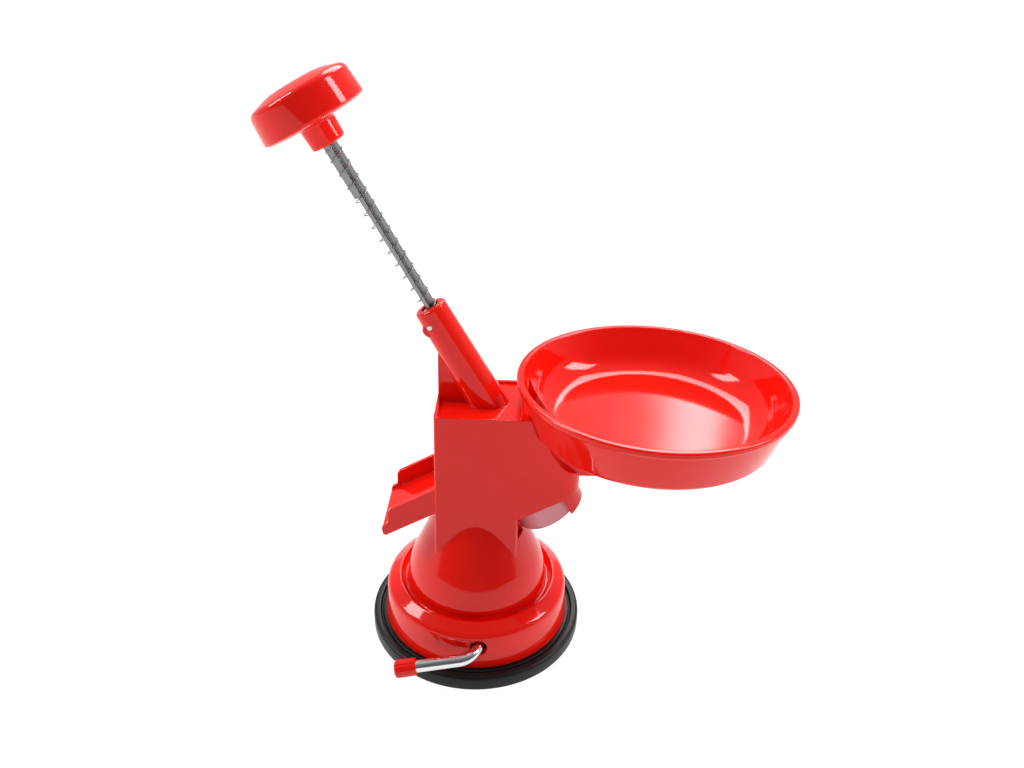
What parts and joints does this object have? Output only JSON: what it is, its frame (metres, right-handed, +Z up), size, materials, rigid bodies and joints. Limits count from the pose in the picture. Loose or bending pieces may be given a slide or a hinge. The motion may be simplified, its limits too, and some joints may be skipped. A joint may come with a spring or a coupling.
{
  "type": "plunger cherry pitter with suction foot",
  "caption": "Tabletop cherry pitter: leaning spring plunger over a soft seat, side dish, chute and a lever-worked suction foot.",
  "frame": {"origin": "centre of the suction disc's footprint, on the surface it stands on", "axes": "+X towards the dish, the chute at -X, the lever leaves the foot at -Y, +Z up"},
  "size_m": [0.1872, 0.1012, 0.2177],
  "materials": {
    "red_plastic": "gloss",
    "black_rubber": "satin",
    "clear_silicone": "translucent",
    "chrome": "polished",
    "grey_steel": "satin",
    "zinc_steel": "satin",
    "white_nylon": "matte",
    "brass": "satin"
  },
  "bodies": {
    "stand": {"housing": "red_plastic", "hopper_dish": "red_plastic", "dish_screws": "zinc_steel", "pit_seat": "clear_silicone", "seat_ring": "red_plastic", "guide_bush": "white_nylon", "spring_washer": "zinc_steel", "retaining_pin": "zinc_steel", "suction_disc": "black_rubber", "return_spring": "grey_steel", "bearing_cap_front": "white_nylon", "bearing_cap_rear": "white_nylon", "bearing_screws": "zinc_steel"},
    "plunger": {"plunger_rod": "grey_steel", "knob": "red_plastic", "knob_insert": "brass"},
    "lever": {"lever_shaft": "chrome", "lever_cap": "red_plastic", "lift_cam": "white_nylon", "cam_pin": "zinc_steel", "shaft_clip": "zinc_steel"},
    "lift": {"lift_stud": "white_nylon", "disc_plate": "zinc_steel", "stud_rivet": "zinc_steel"}
  },
  "joints": [
    {"name": "plunger_slide", "type": "slide", "parent": "stand", "child": "plunger", "axis": [0.4955, 0, -0.8686], "range_m": [0, 0.048], "stiffness_N_per_m": 120, "springref_m": -0.02, "deforming": ["return_spring"]},
    {"name": "lever_turn", "type": "hinge", "parent": "stand", "child": "lever", "pos_m": [0, 0, 0.0155], "axis": [-0.0663, 0.9978, 0], "range_deg": [0, 180]},
    {"name": "lift_slide", "type": "slide", "parent": "stand", "child": "lift", "axis": [0, 0, 1], "range_m": [-0.003, 0], "deforming": ["suction_disc"]}
  ],
  "couplings": [
    {"joint": "lift_slide", "follows": "lever_turn", "m_per_rad": -0.00095}
  ]
}
